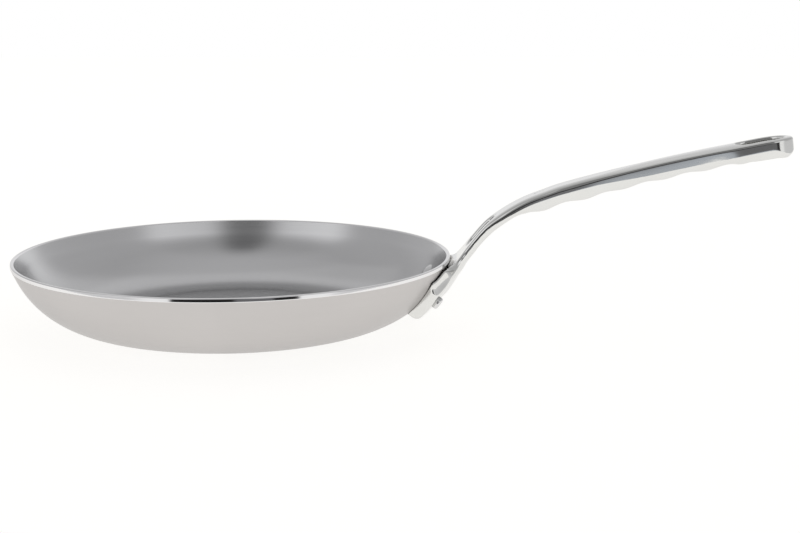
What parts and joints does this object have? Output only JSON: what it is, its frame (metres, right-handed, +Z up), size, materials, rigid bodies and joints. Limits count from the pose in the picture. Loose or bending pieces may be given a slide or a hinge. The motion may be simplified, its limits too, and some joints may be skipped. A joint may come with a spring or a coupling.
{
  "type": "omelette pan",
  "caption": "Shallow round steel omelette pan with curved flaring sides and a long raised cast handle, riveted on, with a hanging slot at its tip.",
  "frame": {"origin": "centre of the flat base's underside, on the table", "axes": "+Z up along the bowl's axis, +X from the bowl's middle along the handle"},
  "size_m": [0.4929, 0.2792, 0.1219],
  "materials": {
    "pan_steel": "satin",
    "handle_steel": "polished",
    "rivet_steel": "polished"
  },
  "bodies": {
    "root": {"pan_body": "pan_steel", "handle": "handle_steel", "rivet_left": "rivet_steel", "rivet_right": "rivet_steel"}
  },
  "joints": []
}
